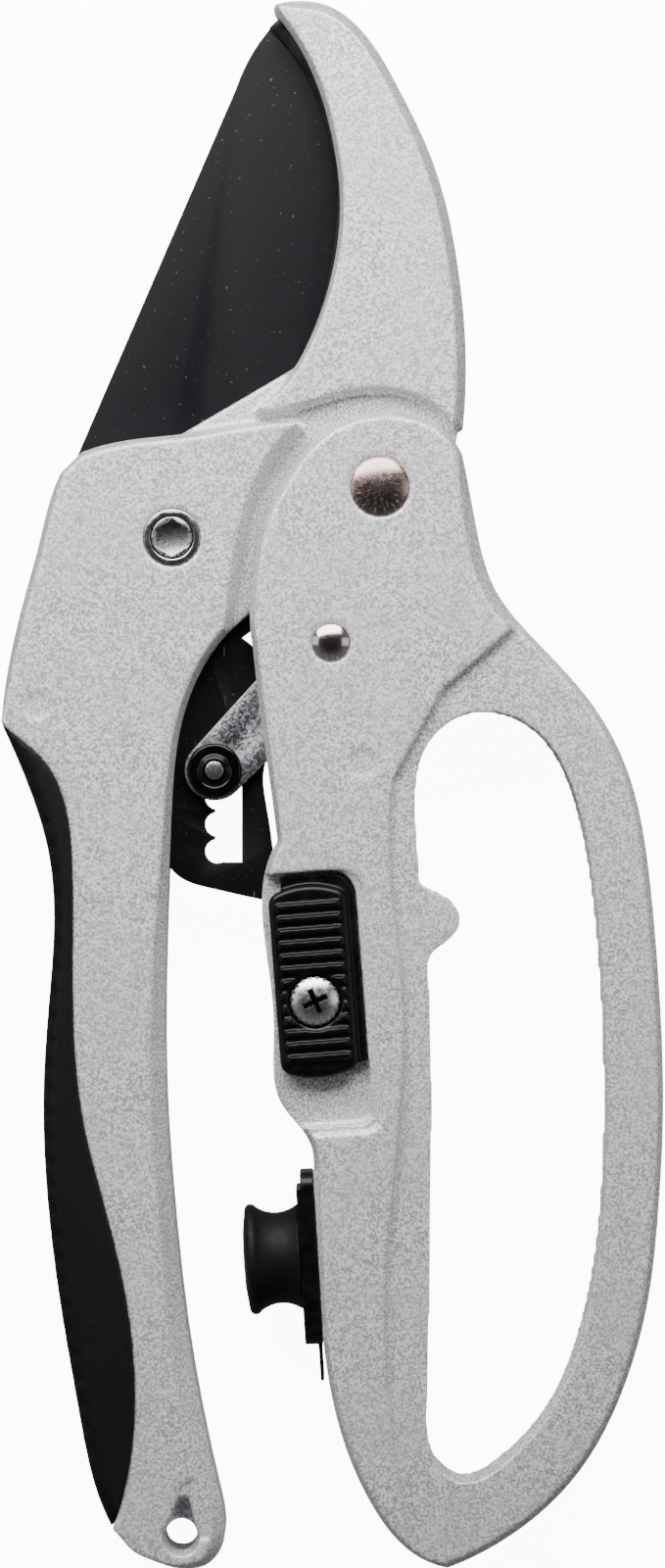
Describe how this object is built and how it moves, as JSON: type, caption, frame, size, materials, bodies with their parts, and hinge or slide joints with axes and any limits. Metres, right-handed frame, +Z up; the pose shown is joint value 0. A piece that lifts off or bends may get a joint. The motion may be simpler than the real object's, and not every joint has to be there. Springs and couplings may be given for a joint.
{
  "type": "ratchet anvil pruner",
  "caption": "Hand pruner with a curved anvil hook, black ratchet blade, cast handles, a closed finger loop, slide lock and rubber bumper, shown shut.",
  "frame": {"origin": "middle of the underside of the tool as it lies flat with its lock side up", "axes": "+Y from the handles towards the tip of the jaw, +X towards the finger loop, +Z up through the tool's thickness"},
  "size_m": [0.088, 0.2086, 0.0167],
  "materials": {
    "cast_alloy": "die-cast aluminium, silver paint, satin with a fine grain",
    "anvil_strip": "moulded black polymer, satin",
    "grip_rubber": "soft moulded rubber with small dimples",
    "black_rubber": "moulded rubber, satin",
    "black_plastic": "moulded nylon, satin",
    "coated_blade": "carbon steel with a smooth black non-stick coating",
    "plated_steel": "nickel-plated steel, polished",
    "zinc_link": "zinc-plated steel sheet",
    "spring_steel": "drawn spring wire"
  },
  "bodies": {
    "frame": {"anvil_frame": "cast_alloy", "anvil_strip": "anvil_strip", "handle_grip": "grip_rubber", "pivot_sleeve": "plated_steel", "pivot_bolt": "plated_steel", "pivot_nut": "plated_steel"},
    "blade": {"blade": "coated_blade"},
    "lever": {"lever_handle": "cast_alloy", "lever_rivet": "plated_steel", "link_rivet": "plated_steel", "handle_spring": "spring_steel", "link_spring": "spring_steel", "bumper": "black_rubber", "bumper_plate": "black_plastic", "bumper_screw": "plated_steel"},
    "link": {"link_plate_front": "zinc_link", "link_plate_back": "zinc_link", "link_pin": "plated_steel", "pin_cap_front": "black_plastic", "pin_cap_back": "black_plastic"},
    "lock": {"lock_button_front": "black_plastic", "lock_button_back": "black_plastic", "lock_latch": "zinc_link", "lock_screw": "plated_steel", "lock_nut": "plated_steel"}
  },
  "joints": [
    {"name": "lever_pivot", "type": "hinge", "parent": "frame", "child": "lever", "pos_m": [0.00629, 0.0394, 0.0083], "axis": [0, 0, 1], "range_deg": [0, 32]},
    {"name": "blade_pivot", "type": "hinge", "parent": "frame", "child": "blade", "pos_m": [-0.02131, 0.0327, 0.0083], "axis": [0, 0, 1], "range_deg": [0, 24]},
    {"name": "link_pivot", "type": "hinge", "parent": "lever", "child": "link", "pos_m": [-0.00021, 0.0188, 0.0083], "axis": [0, 0, 1], "range_deg": [-13.44, 0]},
    {"name": "lock_slide", "type": "slide", "parent": "lever", "child": "lock", "axis": [0.0767, -0.9971, 0], "range_m": [0, 0.006]}
  ],
  "couplings": [
    {"joint": "blade_pivot", "follows": "lever_pivot", "ratio": 0.75},
    {"joint": "link_pivot", "follows": "lever_pivot", "ratio": -0.42}
  ]
}
